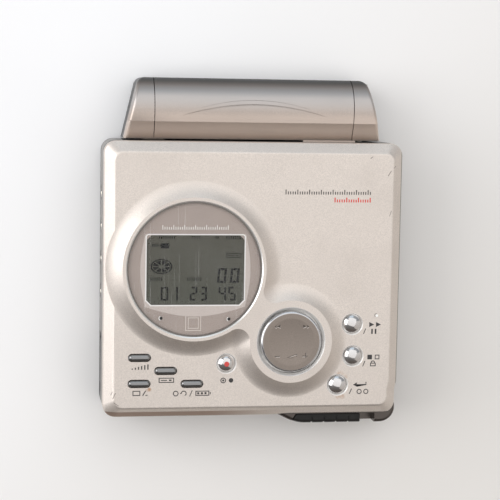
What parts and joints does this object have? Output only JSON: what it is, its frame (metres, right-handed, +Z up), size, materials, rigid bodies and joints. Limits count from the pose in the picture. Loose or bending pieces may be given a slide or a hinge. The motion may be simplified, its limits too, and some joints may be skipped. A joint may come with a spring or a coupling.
{
  "type": "portable minidisc recorder",
  "caption": "Palm-sized silver disc recorder with a rear-hinged lid carrying a round display window, a tilting pad and keys, a lid slider, and a clip-on cell case.",
  "frame": {"origin": "middle of the recorder's flat underside", "axes": "+X to the right of someone reading the display, +Y to the rear where the battery case is, +Z up through the lid"},
  "size_m": [0.0831, 0.0962, 0.0239],
  "materials": {
    "silver_shell": "fine metallic grain, satin",
    "base_metal": "satin",
    "case_metal": "satin metallic",
    "window_clear": "clear",
    "dark_trim": "gloss",
    "mask": "printed film",
    "lcd_glass": "reflective display",
    "inner_plastic": "moulded",
    "board": "circuit board",
    "chips": "moulded chips",
    "steel": "plain steel",
    "rubber": "soft",
    "die_cast": "die cast",
    "lens": "coated lens",
    "ferrite": "ferrite",
    "cell_sleeve": "shrink sleeve",
    "key_chrome": "polished",
    "slot_key_chrome": "dark polished",
    "red": "gloss",
    "pad_metal": "satin with a bright edge",
    "knob_plastic": "ribbed"
  },
  "bodies": {
    "base": {"base_frame": "base_metal", "bottom_cover": "base_metal", "base_screws": "steel", "main_board": "board", "board_chips": "chips", "audio_jacks": "inner_plastic", "dc_jack": "inner_plastic", "battery_pack": "cell_sleeve", "pack_contacts": "inner_plastic", "door_pin": "steel", "hinge_brackets": "steel", "hinge_pins": "steel", "deck_chassis": "steel", "chassis_dampers": "rubber", "chassis_screws": "steel", "guide_rods": "steel", "spindle_motor": "steel", "sled_motor": "steel", "case_body": "case_metal", "cover_pin": "steel", "aa_cell": "cell_sleeve", "cell_contacts": "steel", "case_screw": "steel", "case_bridge": "dark_trim"},
    "door": {"battery_door": "inner_plastic"},
    "turntable": {"turntable": "inner_plastic"},
    "screw": {"lead_screw": "steel", "screw_gear": "inner_plastic"},
    "pinion": {"motor_pinion": "inner_plastic"},
    "sled": {"pickup_sled": "die_cast", "pickup_lens": "lens", "sled_nut": "inner_plastic", "arm_pin": "steel"},
    "arm": {"head_arm": "steel", "head_tip": "ferrite"},
    "lid": {"lid_shell": "silver_shell", "display_trim": "dark_trim", "display_window": "window_clear", "display_mask": "mask", "lcd_panel": "lcd_glass", "lcd_frame": "inner_plastic", "key_board": "board", "key_domes": "steel", "lid_inner_cover": "steel", "lid_screws": "steel"},
    "holder": {"disc_holder": "steel"},
    "play": {"play_button": "key_chrome"},
    "stop": {"stop_button": "key_chrome"},
    "enter": {"enter_button": "key_chrome"},
    "record": {"record_button": "key_chrome", "record_dot": "red"},
    "bass": {"bass_key": "slot_key_chrome"},
    "edit": {"edit_key": "slot_key_chrome"},
    "display": {"display_key": "slot_key_chrome"},
    "mode": {"mode_key": "slot_key_chrome"},
    "carrier": {"rocker_carrier": "steel"},
    "pad": {"rocker_pad": "pad_metal"},
    "slider": {"slider_knob": "knob_plastic", "latch_plate": "steel"},
    "case_lid": {"case_cover": "case_metal"}
  },
  "joints": [
    {"name": "lid_hinge", "type": "hinge", "parent": "base", "child": "lid", "pos_m": [0, 0.0342, 0.0177], "axis": [-1, 0, 0], "range_deg": [0, 36]},
    {"name": "holder_hinge", "type": "hinge", "parent": "base", "child": "holder", "pos_m": [0, 0.0342, 0.0177], "axis": [-1, 0, 0], "range_deg": [0, 25.3]},
    {"name": "door_hinge", "type": "hinge", "parent": "base", "child": "door", "pos_m": [-0.0402, -0.0173, 0.0048], "axis": [0, 0, -1], "range_deg": [0, 95]},
    {"name": "turntable_spin", "type": "hinge", "parent": "base", "child": "turntable", "pos_m": [0, -0.0017, 0.0074], "axis": [0, 0, 1], "continuous": true},
    {"name": "screw_spin", "type": "hinge", "parent": "base", "child": "screw", "pos_m": [0, -0.0136, 0.0059], "axis": [1, 0, 0], "range_deg": [0, 3842]},
    {"name": "pinion_spin", "type": "hinge", "parent": "base", "child": "pinion", "pos_m": [-0.008, -0.0109, 0.0059], "axis": [1, 0, 0], "range_deg": [-9125, 0]},
    {"name": "sled_slide", "type": "slide", "parent": "base", "child": "sled", "axis": [1, 0, 0], "range_m": [0, 0.016]},
    {"name": "arm_hinge", "type": "hinge", "parent": "sled", "child": "arm", "pos_m": [0.015, 0.0334, 0.013], "axis": [-1, 0, 0], "range_deg": [0, 27.1]},
    {"name": "slider_slide", "type": "slide", "parent": "base", "child": "slider", "axis": [1, 0, 0], "range_m": [0, 0.004], "stiffness_N_per_m": 150, "springref_m": -0.003},
    {"name": "case_cover_hinge", "type": "hinge", "parent": "base", "child": "case_lid", "pos_m": [0, 0.0533, 0.003], "axis": [-1, 0, 0], "range_deg": [0, 85]},
    {"name": "play_press", "type": "slide", "parent": "lid", "child": "play", "axis": [0, 0, -1], "range_m": [0, 0.0005], "stiffness_N_per_m": 600, "springref_m": -0.0005},
    {"name": "stop_press", "type": "slide", "parent": "lid", "child": "stop", "axis": [0, 0, -1], "range_m": [0, 0.0005], "stiffness_N_per_m": 600, "springref_m": -0.0005},
    {"name": "enter_press", "type": "slide", "parent": "lid", "child": "enter", "axis": [0, 0, -1], "range_m": [0, 0.0005], "stiffness_N_per_m": 600, "springref_m": -0.0005},
    {"name": "record_press", "type": "slide", "parent": "lid", "child": "record", "axis": [0, 0, -1], "range_m": [0, 0.0005], "stiffness_N_per_m": 600, "springref_m": -0.0005},
    {"name": "bass_press", "type": "slide", "parent": "lid", "child": "bass", "axis": [0, 0, -1], "range_m": [0, 0.0005], "stiffness_N_per_m": 600, "springref_m": -0.0005},
    {"name": "edit_press", "type": "slide", "parent": "lid", "child": "edit", "axis": [0, 0, -1], "range_m": [0, 0.0005], "stiffness_N_per_m": 600, "springref_m": -0.0005},
    {"name": "display_press", "type": "slide", "parent": "lid", "child": "display", "axis": [0, 0, -1], "range_m": [0, 0.0005], "stiffness_N_per_m": 600, "springref_m": -0.0005},
    {"name": "mode_press", "type": "slide", "parent": "lid", "child": "mode", "axis": [0, 0, -1], "range_m": [0, 0.0005], "stiffness_N_per_m": 600, "springref_m": -0.0005},
    {"name": "carrier_tilt", "type": "hinge", "parent": "lid", "child": "carrier", "pos_m": [0.00995, -0.01645, 0.0191], "axis": [1, 0, 0], "range_deg": [-4, 4], "stiffness_Nm_per_rad": 0.05},
    {"name": "pad_tilt", "type": "hinge", "parent": "carrier", "child": "pad", "pos_m": [0.00995, -0.01645, 0.0191], "axis": [0, 1, 0], "range_deg": [-4, 4], "stiffness_Nm_per_rad": 0.05}
  ],
  "couplings": [
    {"joint": "holder_hinge", "follows": "lid_hinge", "ratio": 0.7},
    {"joint": "arm_hinge", "follows": "lid_hinge", "ratio": 0.75},
    {"joint": "screw_spin", "follows": "sled_slide", "rad_per_m": 4188.8},
    {"joint": "pinion_spin", "follows": "sled_slide", "rad_per_m": -9948.4}
  ]
}
